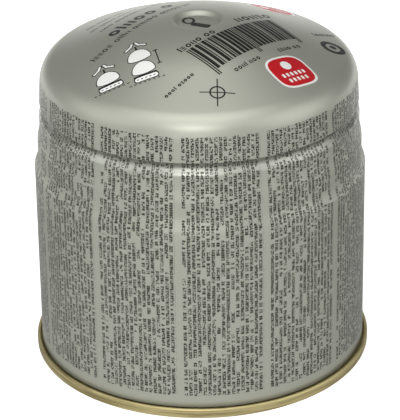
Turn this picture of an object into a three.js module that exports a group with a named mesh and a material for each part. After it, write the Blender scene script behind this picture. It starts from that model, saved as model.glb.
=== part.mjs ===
// A pierceable fuel canister: a deep-drawn steel can with a domed top, and a
// separate base end that is double-seamed into its open bottom.
// Millimetres, +Z up, with the origin at the centre of the surface it stands on.
import * as THREE from 'three';

// Can wall, from the foot up
const bodyRadius = 45.0;
const bodyTop = 54.8;
const shoulderInset = 1.04;
const lowerStepHeight = 4.2;
const shoulderHeight = 3.0;
const collarInset = 0.68;
const upperStepHeight = 4.9;
const collarHeight = 2.2;

// Groove round the neck: a sloping lower flank and a short undercut above it
const grooveDepth = 1.38;
const grooveFlankHeight = 3.5;
const grooveFloorHeight = 0.4;
const grooveUndercutHeight = 0.5;

// Neck, leaning in as it rises, and the dome that it turns into
const neckInset = 0.21;
const neckHeight = 5.95;
const neckLean = 0.05;
const knuckleRadius = 7.2;
const domeSlope = 0.4;
const crownRadius = 67.0;

// Round dimple pressed into the crown, where the needle goes in
const dimpleRadius = 6.9;
const dimpleWallWidth = 2.0;
const dimpleDepth = 1.05;

// Base end and its double seam
const seamHeight = 2.75;
const seamOverhang = 1.4;
const seamCorner = 0.55;
const seamFootWidth = 2.1;
const seamInnerCorner = 0.4;
const endSheet = 0.6;
const countersinkDepth = 5.0;
const countersinkLean = 0.3;
const countersinkCorner = 1.2;
const panelRise = 3.5;

// Clearance between the can and its end, and the rim of can wall outside the end
const endClearance = 0.3;
const canRim = 0.6;

// Facets round the axis
const facets = 60;

// Sizes that follow from those above
const shoulderRadius = bodyRadius - shoulderInset;
const collarRadius = shoulderRadius - collarInset;
const grooveRadius = collarRadius - grooveDepth;
const neckRadius = collarRadius - neckInset;
const shoulderFoot = bodyTop + lowerStepHeight;
const upperStepFoot = shoulderFoot + shoulderHeight;
const collarFoot = upperStepFoot + upperStepHeight;
const grooveFoot = collarFoot + collarHeight;
const grooveFloor = grooveFoot + grooveFlankHeight;
const undercutFoot = grooveFloor + grooveFloorHeight;
const neckFoot = undercutFoot + grooveUndercutHeight;
const canFoot = seamHeight + endClearance;
const seamRadius = bodyRadius + seamOverhang;
const chuckRadius = bodyRadius - canRim - endClearance;
const cornerRadiusFromAxis = chuckRadius - countersinkLean - countersinkCorner;

function point(radius, height) {
  return new THREE.Vector2(radius, height);
}

// Points along an arc of the outline, both ends included
function arc(centre, radius, startAngle, endAngle, steps) {
  const points = [];
  for (let i = 0; i <= steps; i += 1) {
    const angle = startAngle + ((endAngle - startAngle) * i) / steps;
    points.push(point(centre.x + radius * Math.cos(angle), centre.y + radius * Math.sin(angle)));
  }
  return points;
}

// An s-shaped run from one point of the outline to another, eased in radius
function easedStep(start, end, steps) {
  const points = [];
  for (let i = 0; i <= steps; i += 1) {
    const share = i / steps;
    const eased = (1 - Math.cos(Math.PI * share)) / 2;
    const radius = start.x + (end.x - start.x) * eased;
    points.push(point(radius, start.y + (end.y - start.y) * share));
  }
  return points;
}

// A run that leaves its first point upright and flares out to its last
function flaredStep(start, end, steps) {
  const points = [];
  for (let i = 0; i <= steps; i += 1) {
    const share = i / steps;
    const flare = 1 - Math.cos((Math.PI / 2) * share);
    const radius = start.x + (end.x - start.x) * flare;
    points.push(point(radius, start.y + (end.y - start.y) * share));
  }
  return points;
}

// An s-shaped run eased in height
function easedDrop(start, end, steps) {
  const points = [];
  for (let i = 0; i <= steps; i += 1) {
    const share = i / steps;
    const eased = (1 - Math.cos(Math.PI * share)) / 2;
    const height = start.y + (end.y - start.y) * eased;
    points.push(point(start.x + (end.x - start.x) * share, height));
  }
  return points;
}

// A shallow dome from its edge to the axis
function panel(edgeRadius, edgeHeight, rise, steps) {
  const sphereRadius = (edgeRadius ** 2 + rise ** 2) / (2 * rise);
  const centre = point(0, edgeHeight + rise - sphereRadius);
  const edgeAngle = Math.acos(edgeRadius / sphereRadius);
  return arc(centre, sphereRadius, edgeAngle, Math.PI / 2, steps);
}

// Turns an outline round the axis, with the outline's height as +Z
function turned(outline) {
  outline[0].x = 0;
  outline[outline.length - 1].x = 0;
  const geometry = new THREE.LatheGeometry(outline, facets);
  geometry.rotateX(Math.PI / 2);
  return geometry;
}

// The wall of the can, from its foot up to where the knuckle starts
function wallOutline() {
  const lowerStep = flaredStep(point(shoulderRadius, shoulderFoot), point(bodyRadius, bodyTop), 6);
  return [
    point(bodyRadius, canFoot),
    ...lowerStep.reverse(),
    ...easedStep(point(shoulderRadius, upperStepFoot), point(collarRadius, collarFoot), 5),
    ...easedStep(point(collarRadius, grooveFoot), point(grooveRadius, grooveFloor), 7),
    point(grooveRadius, undercutFoot),
    point(neckRadius, neckFoot),
  ];
}

// The knuckle, the cone and the crown, up to the edge of the dimple
function domeOutline() {
  const leanAngle = Math.atan(neckLean);
  const slopeAngle = Math.atan(domeSlope);
  const neckTop = point(neckRadius - neckLean * neckHeight, neckFoot + neckHeight);
  const knuckleCentre = point(
    neckTop.x - knuckleRadius * Math.cos(leanAngle),
    neckTop.y - knuckleRadius * Math.sin(leanAngle),
  );
  const knuckle = arc(knuckleCentre, knuckleRadius, leanAngle, Math.PI / 2 - slopeAngle, 7);
  const coneFoot = knuckle[knuckle.length - 1];
  const crownEdge = crownRadius * Math.sin(slopeAngle);
  const crownEdgeHeight = coneFoot.y + (coneFoot.x - crownEdge) * domeSlope;
  const crownCentre = point(0, crownEdgeHeight - crownRadius * Math.cos(slopeAngle));
  const dimpleAngle = Math.acos(dimpleRadius / crownRadius);
  const crown = arc(crownCentre, crownRadius, Math.PI / 2 - slopeAngle, dimpleAngle, 6);
  return [...knuckle, ...crown];
}

// The dimple, from its lip down to its flat floor
function dimpleOutline(lip) {
  const floorEdge = point(dimpleRadius - dimpleWallWidth, lip.y - dimpleDepth);
  return [...easedDrop(lip, floorEdge, 5).slice(1), point(0, floorEdge.y)];
}

// The underside of the can, from its rim inwards, clear of the end all the way
function canUnderside() {
  const corner = arc(
    point(cornerRadiusFromAxis, countersinkDepth),
    countersinkCorner + endClearance,
    0,
    Math.PI / 2,
    3,
  );
  const edge = corner[corner.length - 1];
  const dome = panel(edge.x, edge.y, panelRise, 5).slice(1);
  return [point(bodyRadius - canRim, canFoot), ...corner, ...dome];
}

function canBody() {
  const dome = domeOutline();
  const dimple = dimpleOutline(dome[dome.length - 1]);
  const outline = [...canUnderside().reverse(), ...wallOutline(), ...dome, ...dimple];
  const material = new THREE.MeshStandardMaterial({
    color: 0xa6a79b,
    roughness: 0.42,
    metalness: 0.75,
  });
  const mesh = new THREE.Mesh(turned(outline), material);
  mesh.name = 'can_body';
  return mesh;
}

// The seam ring's section from its top inner edge out, down and in to its foot
function seamOutline() {
  const roundAt = seamRadius - seamCorner;
  const footInner = seamRadius - seamFootWidth;
  return [
    ...arc(point(roundAt, seamHeight - seamCorner), seamCorner, Math.PI / 2, 0, 3),
    ...arc(point(roundAt, seamCorner), seamCorner, 0, -Math.PI / 2, 3),
    ...arc(point(footInner, seamInnerCorner), seamInnerCorner, -Math.PI / 2, -Math.PI, 2),
  ];
}

function baseEnd() {
  const cornerCentre = point(cornerRadiusFromAxis, countersinkDepth);
  const innerCorner = countersinkCorner - endSheet;
  const underCorner = arc(cornerCentre, innerCorner, 0, Math.PI / 2, 2);
  const underEdge = underCorner[underCorner.length - 1];
  const underside = [...underCorner, ...panel(underEdge.x, underEdge.y, panelRise, 5).slice(1)];
  const topCorner = arc(cornerCentre, countersinkCorner, 0, Math.PI / 2, 3);
  const topEdge = topCorner[topCorner.length - 1];
  const topDome = panel(topEdge.x, topEdge.y, panelRise, 5).slice(1);
  const upperside = [point(chuckRadius, seamHeight), ...topCorner, ...topDome];
  const outline = [...underside.reverse(), ...seamOutline().reverse(), ...upperside];
  const material = new THREE.MeshStandardMaterial({
    color: 0xc0b283,
    roughness: 0.35,
    metalness: 0.85,
  });
  const mesh = new THREE.Mesh(turned(outline), material);
  mesh.name = 'base_end';
  return mesh;
}

const canister = new THREE.Group();
canister.add(canBody(), baseEnd());

export default canister;
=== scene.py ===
import bisect
import math
import random

import bmesh
import bpy
from mathutils import Matrix, Vector


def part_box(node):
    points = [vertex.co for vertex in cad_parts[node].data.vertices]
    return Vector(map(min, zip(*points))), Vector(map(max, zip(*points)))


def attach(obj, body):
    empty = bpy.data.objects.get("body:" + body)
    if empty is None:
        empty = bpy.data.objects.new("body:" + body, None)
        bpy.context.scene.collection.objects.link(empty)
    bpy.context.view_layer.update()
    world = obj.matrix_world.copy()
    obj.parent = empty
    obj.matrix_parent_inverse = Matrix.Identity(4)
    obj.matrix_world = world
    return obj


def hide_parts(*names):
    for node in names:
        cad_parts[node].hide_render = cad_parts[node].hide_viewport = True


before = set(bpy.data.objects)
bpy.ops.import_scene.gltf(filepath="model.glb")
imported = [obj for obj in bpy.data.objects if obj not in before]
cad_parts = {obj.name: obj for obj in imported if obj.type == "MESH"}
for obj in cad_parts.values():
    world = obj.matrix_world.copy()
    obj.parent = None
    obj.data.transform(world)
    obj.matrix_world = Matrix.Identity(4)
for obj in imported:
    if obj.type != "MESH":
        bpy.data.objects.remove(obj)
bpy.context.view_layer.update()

mm = 0.001
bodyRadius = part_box("can_body")[1].x / mm  # in millimetres, as every outline below
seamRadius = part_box("base_end")[1].x / mm


# node helpers

def addNode(tree, kind, values=None, **settings):
    node = tree.nodes.new(kind)
    for name, value in settings.items():
        setattr(node, name, value)
    for name, value in (values or {}).items():
        if isinstance(value, bpy.types.NodeSocket):
            tree.links.new(value, node.inputs[name])
        else:
            node.inputs[name].default_value = value
    return node


def calc(tree, operation, *values):
    node = addNode(tree, "ShaderNodeMath", dict(enumerate(values)), operation=operation)
    return node.outputs[0]


def product(tree, *values):
    result = values[0]
    for value in values[1:]:
        result = calc(tree, "MULTIPLY", result, value)
    return result


def highest(tree, values):
    result = values[0]
    for value in values[1:]:
        result = calc(tree, "MAXIMUM", result, value)
    return result


def between(tree, value, low, high):
    above = calc(tree, "GREATER_THAN", value, low)
    return calc(tree, "MULTIPLY", above, calc(tree, "LESS_THAN", value, high))


def ramp(tree, value, span, levels=(0, 1), kind="LINEAR"):
    values = {0: value, 1: span[0], 2: span[1], 3: levels[0], 4: levels[1]}
    return addNode(tree, "ShaderNodeMapRange", values, interpolation_type=kind).outputs[0]


def mixColour(tree, factor, first, second):
    node = addNode(tree, "ShaderNodeMix", {0: factor, 6: first, 7: second}, data_type="RGBA")
    return node.outputs[2]


def colour(red, green, blue):  # from 0-255 display values
    def linear(level):
        level /= 255
        return level / 12.92 if level <= 0.04045 else ((level + 0.055) / 1.055) ** 2.4
    return (linear(red), linear(green), linear(blue), 1)


def newMaterial(name):
    material = bpy.data.materials.new(name)
    material.use_nodes = True
    return material, material.node_tree, material.node_tree.nodes["Principled BSDF"]


def newGroup(name, inputs, outputs):
    group = bpy.data.node_groups.new(name, "ShaderNodeTree")
    for label, start in inputs.items():
        socket = group.interface.new_socket(label, in_out="INPUT", socket_type="NodeSocketFloat")
        socket.default_value = start
    for label in outputs:
        group.interface.new_socket(label, in_out="OUTPUT", socket_type="NodeSocketFloat")
    return group, group.nodes.new("NodeGroupInput"), group.nodes.new("NodeGroupOutput")


def useGroup(tree, group, **values):
    node = addNode(tree, "ShaderNodeGroup", node_tree=group)
    for name, value in values.items():
        label = name.replace("_", " ")
        if isinstance(value, bpy.types.NodeSocket):
            tree.links.new(value, node.inputs[label])
        else:
            node.inputs[label].default_value = value
    return node


# camera

view = {
    "focalPixels": 2519.8,
    "frameHeight": 420,
    "sensor": 36,
    "distance": 0.69472,
    "elevation": 26.457,
    "roll": -0.85,
    "aim": (-0.00019, 0, 0.038977),
}


def makeCamera():
    elevation = math.radians(view["elevation"])
    roll = math.radians(view["roll"])
    back = Vector((0, -math.cos(elevation), math.sin(elevation)))
    right = Vector((1, 0, 0))
    up = back.cross(right)
    sideways = right * math.cos(roll) + up * math.sin(roll)
    upwards = up * math.cos(roll) - right * math.sin(roll)
    data = bpy.data.cameras.new("viewCamera")
    data.sensor_width = view["sensor"]
    data.lens = view["focalPixels"] / view["frameHeight"] * view["sensor"]
    camera = bpy.data.objects.new("viewCamera", data)
    stand = Matrix((sideways, upwards, back)).transposed().to_4x4()
    stand.translation = Vector(view["aim"]) + back * view["distance"]
    camera.matrix_world = stand
    bpy.context.scene.collection.objects.link(camera)
    bpy.context.scene.camera = camera


makeCamera()
print("camera ready")


# room: floor, lamps and world

room = {
    "floorSize": 4.0,
    "floorColour": (0.8, 0.8, 0.79, 1),
    "floorRoughness": 0.9,
    "floorShine": 0.1,
    "floorCameraLift": 0.85,  # light that only the camera sees
    # the floor's light as gloss shows it, which changes along y from the front over the sides to the back
    "floorMirror": {"front": 0.5, "beside": 0.35, "behind": 1.4},
    "floorMirrorStops": {"front": (-0.06, 0.01), "back": (0.06, 0.34)},
    "floorInGloss": 0.3,  # how much of the floor's colour gloss shows
    "ambient": 0.1,  # world light on matt surfaces
    "mirrored": 0.36,  # the room as gloss shows it
    "softboxes": [  # patches of light in the room that gloss shows: direction, reach in degrees, level
        {"aim": (0.0, 0.0, 1.0), "reach": (38, 5), "level": 1.5},
        {"aim": (0.0, -0.5, 0.87), "reach": (38, 5), "level": 0.75},
        {"aim": (-0.07, -0.78, 0.62), "reach": (15, 4), "level": 4.4},
        {"aim": (-0.05, -0.985, 0.2), "reach": (30, 5), "level": 0.85},
        {"aim": (-0.8, -0.2, 0.5), "reach": (38, 5), "level": 0.95},
        {"aim": (0.85, -0.25, 0.4), "reach": (38, 5), "level": 1.3},
        {"aim": (0.0, 1.0, 0.0), "reach": (24, 5), "level": 0.7},
    ],
    "lampTarget": (0, 0, 0.05),
    "lamps": {
        "fillLamp": {"at": (-0.2, -1.2, 0.16), "size": (0.5, 0.3), "power": 15},
        "topLamp": {"at": (-0.1, -0.35, 1.1), "size": (0.8, 0.8), "power": 5.5},
        "backLamp": {"at": (0.2, 1.2, 0.16), "size": (0.5, 0.3), "power": 8},
    },
}


def makeFloor():
    bm = bmesh.new()
    bmesh.ops.create_grid(bm, x_segments=1, y_segments=1, size=room["floorSize"] / 2)
    mesh = bpy.data.meshes.new("floor")
    bm.to_mesh(mesh)
    bm.free()
    floor = bpy.data.objects.new("floor", mesh)
    bpy.context.scene.collection.objects.link(floor)
    material, tree, shader = newMaterial("floorPaper")
    shader.inputs["Roughness"].default_value = room["floorRoughness"]
    shader.inputs["Specular IOR Level"].default_value = room["floorShine"]
    path = addNode(tree, "ShaderNodeLightPath")
    mirrored = highest(tree, [path.outputs["Is Glossy Ray"], path.outputs["Is Transmission Ray"]])
    inGloss = tuple(level * room["floorInGloss"] for level in room["floorColour"][:3]) + (1,)
    tree.links.new(mixColour(tree, mirrored, room["floorColour"], inGloss), shader.inputs["Base Color"])
    seen = calc(tree, "MULTIPLY", path.outputs["Is Camera Ray"], room["floorCameraLift"])
    spot = addNode(tree, "ShaderNodeTexCoord").outputs["Object"]
    farther = addNode(tree, "ShaderNodeSeparateXYZ", {0: spot}).outputs["Y"]
    stops = room["floorMirrorStops"]
    light = room["floorMirror"]
    frontLift = ramp(tree, farther, stops["front"], (light["front"], light["beside"]))
    backLift = ramp(tree, farther, stops["back"], (0, light["behind"] - light["beside"]))
    glossLift = calc(tree, "ADD", frontLift, backLift)
    lift = calc(tree, "MULTIPLY_ADD", mirrored, glossLift, seen)
    glow = addNode(tree, "ShaderNodeEmission", {"Color": (1, 1, 1, 1), "Strength": lift})
    both = addNode(tree, "ShaderNodeAddShader", {0: shader.outputs[0], 1: glow.outputs[0]})
    tree.links.new(both.outputs[0], tree.nodes["Material Output"].inputs["Surface"])
    mesh.materials.append(material)


def makeWorld():
    world = bpy.data.worlds.new("room")
    world.use_nodes = True
    bpy.context.scene.world = world
    tree = world.node_tree
    path = addNode(tree, "ShaderNodeLightPath")
    ray = addNode(tree, "ShaderNodeTexCoord").outputs["Generated"]
    gloss = room["mirrored"]
    for box in room["softboxes"]:
        aim = Vector(box["aim"]).normalized()
        facing = addNode(tree, "ShaderNodeVectorMath", {0: ray, 1: aim}, operation="DOT_PRODUCT")
        span = [math.cos(math.radians(angle)) for angle in box["reach"]]
        patch = ramp(tree, facing.outputs["Value"], span, kind="SMOOTHSTEP")
        gloss = calc(tree, "MULTIPLY_ADD", patch, box["level"], gloss)
    shown = calc(tree, "MULTIPLY", path.outputs["Is Glossy Ray"], gloss)
    white = highest(tree, [path.outputs["Is Camera Ray"], path.outputs["Is Transmission Ray"]])
    level = calc(tree, "MAXIMUM", highest(tree, [shown, white]), room["ambient"])
    ground = tree.nodes["Background"]
    ground.inputs["Color"].default_value = (1, 1, 1, 1)
    tree.links.new(level, ground.inputs["Strength"])


def makeLamps():
    target = Vector(room["lampTarget"])
    for name, lamp in room["lamps"].items():
        data = bpy.data.lights.new(name, "AREA")
        data.shape = "RECTANGLE"
        data.size, data.size_y = lamp["size"]
        data.energy = lamp["power"]
        light = bpy.data.objects.new(name, data)
        light.location = lamp["at"]
        light.rotation_euler = (target - light.location).to_track_quat("-Z", "Y").to_euler()
        light.visible_glossy = False
        bpy.context.scene.collection.objects.link(light)


makeFloor()
makeWorld()
makeLamps()
bpy.context.scene.view_settings.view_transform = "Standard"
print("room ready")


# outlines that are turned round the axis, in millimetres

def arc(centre, radius, start, end, steps):
    angles = [math.radians(start + (end - start) * i / steps) for i in range(steps + 1)]
    return [(centre[0] + radius * math.cos(a), centre[1] + radius * math.sin(a)) for a in angles]


def pointBetween(start, end, across, along):  # shares of the way in radius and in height
    return (start[0] + (end[0] - start[0]) * across, start[1] + (end[1] - start[1]) * along)


def eased(start, end, steps, inRadius=True):  # s-shaped run, eased in radius or in height
    points = []
    for i in range(steps + 1):
        share = i / steps
        soft = (1 - math.cos(math.pi * share)) / 2
        across, along = (soft, share) if inRadius else (share, soft)
        points.append(pointBetween(start, end, across, along))
    return points


can = {
    "shoulderInset": 1.04,
    "collarInset": 1.72,
    "grooveInset": 3.1,
    "neckInset": 1.93,
    "neckEdge": 0.25,
    "bodyTop": 54.8,
    "shoulderFoot": 59.0,
    "upperStepFoot": 62.0,
    "collarFoot": 66.9,
    "grooveFoot": 69.7,
    "grooveFloor": 72.2,
    "undercutFoot": 73.0,
    "neckFoot": 73.5,
    "neckHeight": 5.95,
    "neckLean": 0.05,
    "knuckleRadius": 7.2,
    "domeSlope": 0.4,
    "crownRadius": 67.0,
    "dimpleRadius": 6.9,
    "dimpleWallWidth": 2.0,
    "dimpleDepth": 1.05,
    "rim": 0.6,
    "rimEdge": 0.12,
    "foot": 2.7,  # the wall runs down into the gap of the seam
    "wallRings": [4.5 + 5 * i for i in range(10)],
    "underCorner": {"centre": (42.6, 5.0), "radius": 1.5},  # underside, clear of the base end
    "underDome": [(0, 10.0), (14, 9.6), (28, 8.5)],
    "turnSteps": 240,
}


def flared(start, end, steps):  # leaves its first point upright and flares out to its last
    points = []
    for i in range(steps + 1):
        share = i / steps
        flare = 1 - math.cos(math.pi / 2 * share)
        points.append(pointBetween(start, end, flare, share))
    return points


def wallOutline():
    body = bodyRadius
    neck = body - can["neckInset"]
    shoulder = body - can["shoulderInset"]
    collar = body - can["collarInset"]
    groove = body - can["grooveInset"]
    edge = can["neckEdge"]
    return [
        (body - can["rim"], can["foot"]),
        (body - can["rimEdge"], can["foot"]),
        (body, can["foot"] + can["rimEdge"]),
        *[(body, height) for height in can["wallRings"]],
        *flared((shoulder, can["shoulderFoot"]), (body, can["bodyTop"]), 16)[::-1],
        *eased((shoulder, can["upperStepFoot"]), (collar, can["collarFoot"]), 14),
        *eased((collar, can["grooveFoot"]), (groove, can["grooveFloor"]), 18),
        (groove, can["undercutFoot"]),
        (neck - edge, can["neckFoot"] - edge * 0.4),
        (neck - edge * 0.25, can["neckFoot"]),
        (neck, can["neckFoot"] + edge),
    ]


def domeOutline():
    lean = math.degrees(math.atan(can["neckLean"]))
    slope = math.degrees(math.atan(can["domeSlope"]))
    neckRadius = bodyRadius - can["neckInset"] - can["neckLean"] * can["neckHeight"]
    neckTop = can["neckFoot"] + can["neckHeight"]
    knuckle = can["knuckleRadius"]
    knuckleCentre = (
        neckRadius - knuckle * math.cos(math.radians(lean)),
        neckTop - knuckle * math.sin(math.radians(lean)),
    )
    turn = arc(knuckleCentre, knuckle, lean, 90 - slope, 22)
    crownEdge = can["crownRadius"] * math.sin(math.radians(slope))
    crownEdgeHeight = turn[-1][1] + (turn[-1][0] - crownEdge) * can["domeSlope"]
    crownCentre = (0, crownEdgeHeight - can["crownRadius"] * math.cos(math.radians(slope)))
    dimpleAngle = math.degrees(math.acos(can["dimpleRadius"] / can["crownRadius"]))
    coneTop = (crownEdge, crownEdgeHeight)
    cone = [pointBetween(turn[-1], coneTop, i / 8, i / 8) for i in range(1, 8)]
    crown = arc(crownCentre, can["crownRadius"], 90 - slope, dimpleAngle, 24)
    lip = crown[-1]
    floorEdge = (lip[0] - can["dimpleWallWidth"], lip[1] - can["dimpleDepth"])
    dimple = eased(lip, floorEdge, 14, inRadius=False)[1:]
    floor = [(floorEdge[0] * i / 4, floorEdge[1]) for i in range(3, -1, -1)]
    return turn + cone + crown + dimple + floor


def turnedPiece(name, outline, steps):
    bm = bmesh.new()
    points = [bm.verts.new((radius * mm, 0, height * mm)) for radius, height in outline]
    edges = [bm.edges.new(pair) for pair in zip(points, points[1:])]
    bmesh.ops.spin(
        bm, geom=points + edges, cent=(0, 0, 0), axis=(0, 0, 1), dvec=(0, 0, 0),
        angle=math.tau, steps=steps, use_merge=True,
    )
    bmesh.ops.remove_doubles(bm, verts=bm.verts, dist=0.001 * mm)
    bmesh.ops.recalc_face_normals(bm, faces=bm.faces)
    for face in bm.faces:
        face.smooth = True
    mesh = bpy.data.meshes.new(name)
    bm.to_mesh(mesh)
    bm.free()
    piece = bpy.data.objects.new(name, mesh)
    bpy.context.scene.collection.objects.link(piece)
    return piece


# printed rows that only look like small print: random marks in rows, with gaps between groups of marks

rows = {
    "shortGaps": 0.14,  # share of the marks left out one by one
    "longGaps": 0.06,  # share of the runs left out
    "runLength": 5.0,
    "strokesAlong": 2.4,  # cells in a mark, along and across the row
    "strokesAcross": 4.6,
    "emptyCells": 0.27,
    "markWidth": 0.86,
}


def makeGreekedRows():
    group, given, result = newGroup(
        "greekedRows",
        {"Along": 0, "Across": 0, "Row Pitch": 1, "Mark Width": 0.7, "Mark Height": 0.66, "Seed": 0},
        ["Ink"],
    )
    value = given.outputs
    rowPlace = calc(group, "DIVIDE", value["Across"], value["Row Pitch"])
    row = calc(group, "FLOOR", rowPlace)
    rowPart = calc(group, "FRACT", rowPlace)
    rowSeed = calc(group, "MULTIPLY_ADD", value["Seed"], 31.7, row)
    rowNoise = addNode(group, "ShaderNodeTexWhiteNoise", {"W": rowSeed}, noise_dimensions="1D")
    shifted = calc(group, "MULTIPLY_ADD", rowNoise.outputs["Value"], 37.0, value["Along"])
    markPlace = calc(group, "DIVIDE", shifted, value["Mark Width"])
    mark = calc(group, "FLOOR", markPlace)
    markPart = calc(group, "FRACT", markPlace)

    def noiseAt(first, second, third):
        cell = addNode(group, "ShaderNodeCombineXYZ", {0: first, 1: second, 2: third}).outputs[0]
        noise = addNode(group, "ShaderNodeTexWhiteNoise", {"Vector": cell}, noise_dimensions="3D")
        return noise.outputs["Value"]

    shortGap = calc(group, "GREATER_THAN", noiseAt(mark, rowSeed, 1.5), rows["shortGaps"])
    run = calc(group, "FLOOR", calc(group, "DIVIDE", markPlace, rows["runLength"]))
    longGap = calc(group, "GREATER_THAN", noiseAt(run, rowSeed, 2.5), rows["longGaps"])
    strokeAlong = calc(group, "FLOOR", calc(group, "MULTIPLY", markPlace, rows["strokesAlong"]))
    strokeAcross = calc(group, "FLOOR", calc(group, "MULTIPLY", rowPart, rows["strokesAcross"]))
    stroke = calc(group, "GREATER_THAN", noiseAt(strokeAlong, rowSeed, strokeAcross), rows["emptyCells"])
    fromMiddle = calc(group, "ABSOLUTE", calc(group, "SUBTRACT", rowPart, 0.5))
    inRow = calc(group, "LESS_THAN", fromMiddle, calc(group, "MULTIPLY", value["Mark Height"], 0.5))
    inMark = calc(group, "LESS_THAN", markPart, rows["markWidth"])
    ink = product(group, shortGap, longGap, stroke, inRow, inMark)
    group.links.new(ink, result.inputs["Ink"])
    return group


def makeInside():  # 1 inside a rectangle of the print, 0 outside
    group, given, result = newGroup(
        "insideField", {"S": 0, "T": 0, "Left": 0, "Right": 1, "Bottom": 0, "Top": 1}, ["Mask"])
    value = given.outputs
    across = between(group, value["S"], value["Left"], value["Right"])
    upDown = between(group, value["T"], value["Bottom"], value["Top"])
    group.links.new(product(group, across, upDown), result.inputs["Mask"])
    return group


def makeSheetGrain():  # soft mottling and fine orange peel of lacquered sheet
    group, given, result = newGroup(
        "sheetGrain", {"Mottle Scale": 60, "Peel Scale": 1800}, ["Mottle", "Peel"])
    spot = addNode(group, "ShaderNodeTexCoord").outputs["Object"]
    for label, detail in (("Mottle", 3), ("Peel", 2)):
        scale = given.outputs[label + " Scale"]
        values = {"Vector": spot, "Scale": scale, "Detail": detail, "Roughness": 0.5}
        noise = addNode(group, "ShaderNodeTexNoise", values)
        group.links.new(noise.outputs[0], result.inputs[label])
    return group


def addGrainBump(tree, shader, height, strength, distance):
    values = {"Strength": strength, "Distance": distance * mm, "Height": height}
    bump = addNode(tree, "ShaderNodeBump", values)
    tree.links.new(bump.outputs[0], shader.inputs["Normal"])


greekedRows = makeGreekedRows()
insideField = makeInside()
sheetGrain = makeSheetGrain()

wallPrint = {  # angles in degrees round the can, heights in millimetres
    "firstGutter": -7.75,
    "columnTurn": 30.0,
    "gutter": 2.3,
    "rowTurn": 1.6118,
    "bottom": 6.2,  # heights at which the rows start and end
    "top": 80.6,
    "markWidth": 0.66,
    "markHeight": 0.72,
}

tin = {
    "ground": colour(169, 171, 159),
    "ink": colour(30, 31, 21),
    "metallic": 0.62,
    "roughness": 0.38,
    "mottle": 0.05,
    "dulled": 0.05,  # share of the darker ground mixed in everywhere
    "darkerGround": 0.8,
    "peel": 0.012,  # depth of the fine grain in millimetres
    "peelStrength": 0.25,
    "paintedShadeBand": (71.2, 72.2),  # height at which the painted shade line in the groove starts and is full
    "paintedShadeTop": 73.6,
    # how dark the painted shade line in the groove is
    "paintedShadeDark": 0.66,
    "glossBandHeight": 70.9,  # band under the groove that the tool left smoother and more metallic, with a painted highlight: lighter ground and fainter print
    "glossBandWidth": (0.4, 1.0),  # half widths, full and outer
    # painted highlight: the band's lighter ground colour
    "paintedHighlightGround": colour(174, 176, 166),
    "glossBandMetallic": 0.75,
    "glossBandRoughness": 0.29,
    "paintedHighlightFade": 0.15,  # how much the painted highlight takes off the print
}


def objectMillimetres(tree):
    spot = addNode(tree, "ShaderNodeTexCoord").outputs["Object"]
    scaled = addNode(tree, "ShaderNodeVectorMath", {0: spot, 3: 1 / mm}, operation="SCALE")
    return addNode(tree, "ShaderNodeSeparateXYZ", {0: scaled.outputs[0]}).outputs


def wallInk(tree, x, y, z):
    turn = calc(tree, "DEGREES", calc(tree, "ARCTAN2", x, calc(tree, "MULTIPLY", y, -1.0)))
    fromGutter = calc(tree, "ADD", turn, 360 - wallPrint["firstGutter"])
    columnPlace = calc(tree, "DIVIDE", fromGutter, wallPrint["columnTurn"])
    column = calc(tree, "FLOOR", columnPlace)
    inColumn = calc(tree, "MULTIPLY", calc(tree, "FRACT", columnPlace), wallPrint["columnTurn"])
    half = wallPrint["gutter"] / 2
    across = calc(tree, "SUBTRACT", inColumn, half)
    marksInRows = useGroup(
        tree, greekedRows, Along=z, Across=across, Row_Pitch=wallPrint["rowTurn"],
        Mark_Width=wallPrint["markWidth"], Mark_Height=wallPrint["markHeight"], Seed=column,
    )
    inside = useGroup(
        tree, insideField, S=inColumn, T=z, Left=half, Right=wallPrint["columnTurn"] - half,
        Bottom=wallPrint["bottom"], Top=wallPrint["top"],
    )
    return product(tree, marksInRows.outputs["Ink"], inside.outputs["Mask"])


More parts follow.
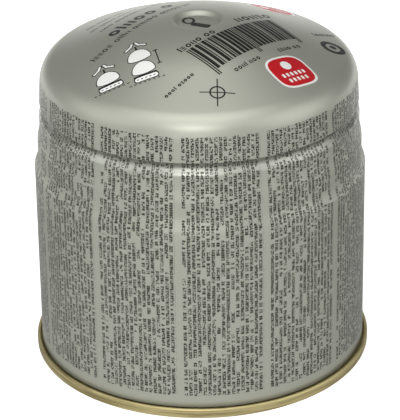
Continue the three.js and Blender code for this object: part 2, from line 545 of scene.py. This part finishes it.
def makePrintedTin():
    material, tree, shader = newMaterial("printedTin")
    x, y, z = objectMillimetres(tree)
    # painted shade: a dark line in the groove's crease, drawn in the ink colour
    paintedCreaseShade = ramp(tree, z, tin["paintedShadeBand"], (0, tin["paintedShadeDark"]))
    paintedCreaseShade = calc(tree, "MULTIPLY", paintedCreaseShade, calc(tree, "LESS_THAN", z, tin["paintedShadeTop"]))
    # band under the groove: smoother, more metallic, and a painted highlight that lightens the ground and
    # fades the print
    fromBand = calc(tree, "ABSOLUTE", calc(tree, "SUBTRACT", z, tin["glossBandHeight"]))
    glossAndHighlightBand = ramp(tree, fromBand, tin["glossBandWidth"], (1, 0), kind="SMOOTHSTEP")
    kept = calc(tree, "MULTIPLY_ADD", glossAndHighlightBand, -tin["paintedHighlightFade"], 1.0)
    ink = highest(tree, [calc(tree, "MULTIPLY", wallInk(tree, x, y, z), kept), paintedCreaseShade])
    grain = useGroup(tree, sheetGrain).outputs
    tint = calc(tree, "MULTIPLY", calc(tree, "SUBTRACT", grain["Mottle"], 0.5), tin["mottle"])
    darker = tuple(level * tin["darkerGround"] for level in tin["ground"][:3]) + (1,)
    ground = mixColour(tree, calc(tree, "ADD", tint, tin["dulled"]), tin["ground"], darker)
    # painted highlight: the band's ground is lighter
    ground = mixColour(tree, glossAndHighlightBand, ground, tin["paintedHighlightGround"])
    tree.links.new(mixColour(tree, ink, ground, tin["ink"]), shader.inputs["Base Color"])
    brighter = tin["glossBandMetallic"] - tin["metallic"]
    bareMetal = calc(tree, "MULTIPLY_ADD", glossAndHighlightBand, brighter, tin["metallic"])
    metal = calc(tree, "MULTIPLY", calc(tree, "SUBTRACT", 1.0, ink), bareMetal)
    tree.links.new(metal, shader.inputs["Metallic"])
    smoother = tin["glossBandRoughness"] - tin["roughness"]
    rough = calc(tree, "MULTIPLY_ADD", glossAndHighlightBand, smoother, tin["roughness"])
    tree.links.new(calc(tree, "ADD", rough, tint), shader.inputs["Roughness"])
    addGrainBump(tree, shader, grain["Peel"], tin["peelStrength"], tin["peel"])
    return material


def makeCan():
    corner = can["underCorner"]
    underside = can["underDome"] + arc(corner["centre"], corner["radius"], 90, 0, 6)
    outline = underside + wallOutline() + domeOutline()
    piece = turnedPiece("printedCan", outline, can["turnSteps"])
    piece.data.materials.append(makePrintedTin())
    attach(piece, "root")
    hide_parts("can_body")


makeCan()
print("can ready")


# printed marks on the dome: thin films cut to simple shapes and laid on the surface

printTurn = 45.0  # the dome's print runs at this angle

marks = {
    "cutStep": 0.75,  # size of the parts that flat shapes are cut into to follow the dome
    "cutShift": 0.37,
    "blackInk": colour(19, 20, 15),
    "whiteInk": colour(250, 250, 246),
    "redInk": colour(200, 26, 36),
    "inkGloss": 0.18,
    "inkRoughness": 0.33,
    "inkMottle": 0.1,
    "films": (0.02, 0.045, 0.07),  # heights of the first, second and third film above the dome
    "barLeft": -14.4,
    "barModule": 0.335,
    "barModules": 96,
    "barTop": -9.8,
    "barFoot": -20.2,
    "guardFoot": -22.0,
    "dimpleRing": {"at": (-2.5, 1.7), "radius": 2.25, "width": 0.72, "squash": 0.8},
    "dimpleBar": {"at": (0.7, -1.5), "turn": -24, "size": (5.4, 2.3), "corner": 0.7},
    "cross": {"at": (4.7, -31.7), "length": 9.2, "line": 0.32, "radius": 2.1, "width": 0.42},
    "edgeRing": {"at": (36.0, 0.2), "radius": 3.4, "width": 1.4, "dotAt": (36.0, 0.4), "dot": 1.0},
    "pictograms": [{"at": (-23.6, -22.2), "turn": 15}, {"at": (-14.3, -21.6), "turn": 13}],
    "bellSize": (5.9, 3.6),  # domes over a base
    "bellStep": 5.3,
    "bellLine": 0.26,
    "frontBadge": {"at": (3.2, -30.9), "turn": -5},  # in the print's own frame
    "rearBadge": {"at": (20.2, 24.4), "turn": 120},
    "badgeSize": (12.5, 11.2),
    "badgeBorder": 0.6,
    "rows": [  # rows of small simple shapes, in the print's own frame
        {"left": -15.4, "foot": -9.3, "length": 12.6, "height": 2.1, "stroke": 0.42},
        {"left": 7.0, "foot": -8.4, "length": 11.4, "height": 3.1, "stroke": 0.62},
        {"left": -10.2, "foot": -24.0, "length": 8.7, "height": 1.5, "stroke": 0.32},
        {"left": 6.2, "foot": -24.0, "length": 8.0, "height": 1.5, "stroke": 0.32},
        {"left": -29.3, "foot": -17.5, "length": 10.8, "height": 1.25, "stroke": 0.32},
        {"left": -17.5, "foot": 14.0, "length": 23.0, "height": 4.2, "stroke": 0.95},
        {"left": -28.0, "foot": 10.5, "length": 36.0, "height": 2.0, "stroke": 0.34},
        {"left": -15.0, "foot": 21.3, "length": 22.0, "height": 1.7, "stroke": 0.28},
        {"left": -15.0, "foot": 25.4, "length": 17.0, "height": 1.4, "stroke": 0.24},
        {"left": -13.0, "foot": 29.2, "length": 13.0, "height": 1.3, "stroke": 0.24},
        {"left": 25.5, "foot": -19.0, "length": 8.0, "height": 1.7, "stroke": 0.45},
    ],
}

topLine = domeOutline()[::-1]  # from the axis outwards


def heightAt(radius):
    spot = min(max(bisect.bisect_right(topLine, (radius, 1000)), 1), len(topLine) - 1)
    (innerRadius, innerHeight), (outerRadius, outerHeight) = topLine[spot - 1], topLine[spot]
    return innerHeight + (outerHeight - innerHeight) * (radius - innerRadius) / (outerRadius - innerRadius)


def placeAt(at, turn=0):  # in the plane of the print, in millimetres and degrees
    return Matrix.Translation((at[0], at[1], 0)) @ Matrix.Rotation(math.radians(turn), 4, "Z")


def addBar(bm, matrix, size, corner=0):
    verts = bmesh.ops.create_grid(bm, x_segments=1, y_segments=1, size=0.5)["verts"]
    bmesh.ops.scale(bm, vec=(size[0], size[1], 1), verts=verts)
    bmesh.ops.transform(bm, matrix=matrix, verts=verts)
    if corner:
        bmesh.ops.bevel(
            bm, geom=verts, offset=corner, offset_type="OFFSET", affect="VERTICES",
            segments=5, profile=0.5, material=-1,
        )


def addDisc(bm, matrix, radius):
    bmesh.ops.create_circle(bm, cap_ends=True, segments=40, radius=radius, matrix=matrix)


def addRing(bm, matrix, radius, width, segments=40):
    made = bmesh.ops.create_circle(bm, cap_ends=True, segments=segments, radius=radius, matrix=matrix)
    verts = made["verts"]
    face = verts[0].link_faces[0]
    bmesh.ops.inset_region(bm, faces=[face], thickness=width, use_boundary=True, use_even_offset=True)
    bmesh.ops.delete(bm, geom=[face], context="FACES")


def addSquircle(bm, matrix, size):  # a square with bowed sides and round corners
    verts = bmesh.ops.create_circle(bm, cap_ends=True, segments=72, radius=1)["verts"]
    for vert in verts:
        reach = (abs(vert.co.x) ** 3.4 + abs(vert.co.y) ** 3.4) ** (1 / 3.4)
        vert.co = Vector((vert.co.x / reach * size[0] / 2, vert.co.y / reach * size[1] / 2, 0))
    bmesh.ops.transform(bm, matrix=matrix, verts=verts)


def makeInk(name, ink):
    material, tree, shader = newMaterial(name)
    grain = useGroup(tree, sheetGrain).outputs
    shader.inputs["Base Color"].default_value = ink
    shader.inputs["Specular IOR Level"].default_value = marks["inkGloss"]
    rough = calc(tree, "MULTIPLY_ADD", grain["Mottle"], marks["inkMottle"], marks["inkRoughness"])
    tree.links.new(rough, shader.inputs["Roughness"])
    addGrainBump(tree, shader, grain["Peel"], tin["peelStrength"], tin["peel"])
    return material


def layOnDome(bm, name, material, film):  # cuts flat shapes small and drops them onto the dome
    steps = int(bodyRadius / marks["cutStep"])
    for step in range(-steps, steps + 1):
        for normal in ((1, 0, 0), (0, 1, 0)):
            geometry = bm.verts[:] + bm.edges[:] + bm.faces[:]
            bmesh.ops.bisect_plane(
                bm, geom=geometry, dist=0.0001, plane_no=normal,
                plane_co=Vector(normal) * (step * marks["cutStep"] + marks["cutShift"]),
            )
    bmesh.ops.triangulate(bm, faces=bm.faces[:])
    for vert in bm.verts:
        vert.co.z = heightAt(math.hypot(vert.co.x, vert.co.y)) + marks["films"][film]
    bmesh.ops.scale(bm, vec=(mm, mm, mm), verts=bm.verts)
    for face in bm.faces:
        if face.normal.z < 0:
            face.normal_flip()
        face.smooth = True
    mesh = bpy.data.meshes.new(name)
    bm.to_mesh(mesh)
    bm.free()
    mesh.materials.append(material)
    piece = bpy.data.objects.new(name, mesh)
    bpy.context.scene.collection.objects.link(piece)
    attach(piece, "root")


printFrame = placeAt((0, 0), printTurn)
badgePlaces = [printFrame @ placeAt(**marks["frontBadge"]), placeAt(**marks["rearBadge"])]
pictogramPlaces = [placeAt(**spot) for spot in marks["pictograms"]]


def addBarPattern(bm):
    pick = random.Random(11)
    guards = {0, 2, 46, 48, 92, 94}  # longer bars at the ends and in the middle
    module = 0
    while module < marks["barModules"]:
        guard = module in guards
        width = 1 if guard or module in (44, 90) else pick.choice((1, 1, 2, 3, 3))
        foot = marks["guardFoot"] if guard else marks["barFoot"]
        middle = (
            marks["barLeft"] + (module + width / 2) * marks["barModule"],
            (marks["barTop"] + foot) / 2,
        )
        size = ((width + 0.15) * marks["barModule"], marks["barTop"] - foot)
        addBar(bm, printFrame @ placeAt(middle), size)
        module += width + (1 if guard else pick.choice((1, 1, 1, 2)))
        module = next((g for g in sorted(guards) if module - 1 == g), module)


def addRow(bm, row, pick):
    height, stroke = row["height"], row["stroke"]
    along = row["left"]
    left = pick.randint(3, 6)  # shapes left before the next gap
    while along < row["left"] + row["length"]:
        kind = pick.choice(("ring", "ring", "bar", "pair", "dashes"))
        width = {"ring": 0.76, "bar": stroke / height, "pair": 0.64, "dashes": 0.55}[kind] * height
        middle = along + width / 2
        if kind == "ring":
            addRing(bm, printFrame @ placeAt((middle, row["foot"] + width / 2)), width / 2, stroke, 14)
        elif kind == "bar":
            addBar(bm, printFrame @ placeAt((middle, row["foot"] + height / 2)), (stroke, height))
        elif kind == "pair":
            for side in (-1, 1):
                at = (middle + side * (width - stroke) / 2, row["foot"] + height * 0.36)
                addBar(bm, printFrame @ placeAt(at), (stroke, height * 0.72))
        else:
            for rise in (0.08, 0.4, 0.7):
                at = (middle, row["foot"] + height * rise)
                addBar(bm, printFrame @ placeAt(at), (width, stroke * 0.8))
        along += width + height * 0.2
        left -= 1
        if left == 0:
            along += height * 0.5
            left = pick.randint(3, 7)


def makeBlackMarks():
    bm = bmesh.new()
    pick = random.Random(5)
    addBarPattern(bm)
    for row in marks["rows"]:
        addRow(bm, row, pick)
    # ring and slanted bar on the floor of the dimple
    ring = marks["dimpleRing"]
    squash = Matrix.Diagonal((ring["squash"], 1, 1, 1))
    addRing(bm, placeAt(ring["at"]) @ squash, ring["radius"], ring["width"])
    bar = marks["dimpleBar"]
    addBar(bm, placeAt(bar["at"], bar["turn"]), bar["size"], bar["corner"])
    # crossed hairlines with a ring
    cross = marks["cross"]
    addBar(bm, placeAt(cross["at"]), (cross["length"], cross["line"]))
    addBar(bm, placeAt(cross["at"]), (cross["line"], cross["length"]))
    addRing(bm, placeAt(cross["at"]), cross["radius"], cross["width"])
    # ring with a dot near the right edge
    ring = marks["edgeRing"]
    addRing(bm, placeAt(ring["at"]), ring["radius"], ring["width"])
    addDisc(bm, placeAt(ring["dotAt"]), ring["dot"])
    layOnDome(bm, "blackMarks", makeInk("blackInk", marks["blackInk"]), 0)


def addBell(bm, matrix, size, grow):  # half-round field with a nearly flat foot
    verts = bmesh.ops.create_circle(bm, cap_ends=True, segments=40, radius=1)["verts"]
    for vert in verts:
        high = size[1] if vert.co.y > 0 else size[1] * 0.3
        vert.co = Vector((vert.co.x * (size[0] / 2 + grow), vert.co.y * (high + grow), 0))
    bmesh.ops.transform(bm, matrix=matrix, verts=verts)


def makePictograms():
    outline = bmesh.new()
    fill = bmesh.new()
    detail = bmesh.new()
    step = marks["bellStep"]
    for number, matrix in enumerate(pictogramPlaces):
        top = step * number + 3.3
        leaves = [(-2.0, 1.4, 35), (-0.9, 2.5, 65), (0.7, 2.6, 110), (1.9, 1.5, 145)]
        for bm, grow in ((outline, marks["bellLine"]), (fill, 0)):
            for level in range(number + 1):
                addBell(bm, matrix @ placeAt((0, step * level - 0.6)), marks["bellSize"], grow)
            addBar(bm, matrix @ placeAt((0.1, -3.3)), (6.1 + 2 * grow, 1.5 + 2 * grow), 0.7)
            for across, up, turn in leaves:
                leaf = matrix @ placeAt((across, top + up), turn)
                addBar(bm, leaf, (2.0 + 2 * grow, 0.6 + 2 * grow), 0.25)
        addBar(outline, matrix @ placeAt((0, top + 0.6)), (0.5, 1.9))
        addBar(detail, matrix @ placeAt((0, -2.2)), (6.2, 0.5), 0.2)
        for dot in range(5):
            addBar(detail, matrix @ placeAt((-2.2 + dot * 1.1, -3.3)), (0.55, 0.28), 0.1)
        for dash in range(8):
            addBar(detail, matrix @ placeAt((-4.4 + dash * 1.25, -4.7)), (0.6, 0.26))
        if number:
            addBar(detail, matrix @ placeAt((4.4, 3.0)), (0.3, 5.6))
            for end in (0.3, 5.7):
                addBar(detail, matrix @ placeAt((4.4, end)), (1.2, 0.3))
    black = bpy.data.materials["blackInk"]
    white = makeInk("whiteInk", marks["whiteInk"])
    layOnDome(outline, "pictogramOutline", black, 0)
    layOnDome(fill, "pictogramFill", white, 1)
    layOnDome(detail, "pictogramDetail", black, 2)


def makeBadges():
    border = bmesh.new()
    field = bmesh.new()
    motif = bmesh.new()
    inner = [size - 2 * marks["badgeBorder"] for size in marks["badgeSize"]]
    for matrix in badgePlaces:
        addSquircle(border, matrix, marks["badgeSize"])
        addSquircle(field, matrix, inner)
        addDisc(motif, matrix @ placeAt((0, 2.2)), 1.5)
        for row, columns in ((-0.9, 6), (-2.9, 5)):
            for column in range(columns):
                at = ((column - (columns - 1) / 2) * 1.35, row)
                addBar(motif, matrix @ placeAt(at), (0.75, 1.25), 0.2)
    white = bpy.data.materials["whiteInk"]
    layOnDome(border, "badgeBorder", white, 0)
    layOnDome(field, "badgeField", makeInk("redInk", marks["redInk"]), 1)
    layOnDome(motif, "badgeMotif", white, 2)


makeBlackMarks()
makePictograms()
makeBadges()
print("dome marks ready")


# base end: gold-lacquered, with the double seam round its edge

end = {
    "seamHeight": 2.75,
    "gapDepth": 0.65,  # open gap between the seam and the wall
    "gapWidth": 0.15,
    "seamCorner": 0.55,
    "seamFootWidth": 2.1,
    "seamInnerCorner": 0.4,
    "chuckRadius": 44.1,
    "countersinkDepth": 5.0,
    "cornerCentre": 42.6,
    "corner": 1.2,
    "sheet": 0.6,
    "panelRise": 3.5,
    "gold": colour(190, 177, 129),
    "darkGold": colour(112, 100, 60),
    "metallic": 0.75,
    "roughness": 0.42,
    "roughSpread": 0.12,
    "streakScale": (45, 45, 1500),
    "streakRange": (0.5, 0.6),
    "streakDark": 0.6,
    "streakDepth": 0.02,  # of the bump, in millimetres
    "streakStrength": 0.3,
    "markHeight": 1.45,  # thin broken line that the seaming roll left
    "markWidth": (0.07, 0.2),  # half widths, full and outer
    "markDark": 0.8,
    "markBreaks": (0.4, 0.55),
}


def panelOutline(edge, steps):
    rise = end["panelRise"]
    radius = (edge[0] ** 2 + rise ** 2) / (2 * rise)
    start = math.degrees(math.acos(edge[0] / radius))
    return arc((0, edge[1] + rise - radius), radius, start, 90, steps)


def endOutline():
    outer = seamRadius
    corner = end["seamCorner"]
    cornerCentre = (end["cornerCentre"], end["countersinkDepth"])
    topCorner = arc(cornerCentre, end["corner"], 0, 90, 8)
    underCorner = arc(cornerCentre, end["corner"] - end["sheet"], 0, 90, 8)
    footInner = outer - end["seamFootWidth"]
    return [
        *panelOutline(underCorner[-1], 10)[::-1],
        *underCorner[::-1][1:],
        *arc((footInner, end["seamInnerCorner"]), end["seamInnerCorner"], 180, 270, 6),
        *arc((outer - corner, corner), corner, 270, 360, 10),
        *arc((outer - corner, end["seamHeight"] - corner), corner, 0, 180, 18),
        (bodyRadius + end["gapWidth"], end["seamHeight"] - end["gapDepth"]),
        (end["chuckRadius"], end["seamHeight"] - end["gapDepth"]),
        *topCorner,
        *panelOutline(topCorner[-1], 10)[1:],
    ]


def makeGoldLacquer():
    material, tree, shader = newMaterial("goldLacquer")
    spot = addNode(tree, "ShaderNodeTexCoord").outputs["Object"]
    stretched = addNode(tree, "ShaderNodeMapping", {"Vector": spot, "Scale": end["streakScale"]})
    values = {"Vector": stretched.outputs[0], "Scale": 1.0, "Detail": 3, "Roughness": 0.6}
    streak = addNode(tree, "ShaderNodeTexNoise", values).outputs[0]
    grain = useGroup(tree, sheetGrain, Mottle_Scale=90).outputs
    streakDark = ramp(tree, streak, end["streakRange"], (0, end["streakDark"]))
    z = objectMillimetres(tree)["Z"]
    onSeam = calc(tree, "LESS_THAN", z, end["seamHeight"] + 0.1)
    fromMark = calc(tree, "ABSOLUTE", calc(tree, "SUBTRACT", z, end["markHeight"]))
    mark = ramp(tree, fromMark, end["markWidth"], (1, 0))
    broken = ramp(tree, grain["Mottle"], end["markBreaks"])
    mark = product(tree, mark, broken, end["markDark"])
    dark = calc(tree, "MULTIPLY", highest(tree, [streakDark, mark]), onSeam)
    tree.links.new(mixColour(tree, dark, end["gold"], end["darkGold"]), shader.inputs["Base Color"])
    shader.inputs["Metallic"].default_value = end["metallic"]
    smoothest = end["roughness"] - end["roughSpread"] / 2
    rough = calc(tree, "MULTIPLY_ADD", grain["Mottle"], end["roughSpread"], smoothest)
    tree.links.new(rough, shader.inputs["Roughness"])
    addGrainBump(tree, shader, streak, end["streakStrength"], end["streakDepth"])
    return material


def makeEnd():
    piece = turnedPiece("goldEnd", endOutline(), can["turnSteps"])
    piece.data.materials.append(makeGoldLacquer())
    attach(piece, "root")
    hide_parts("base_end")


makeEnd()
print("base end ready")
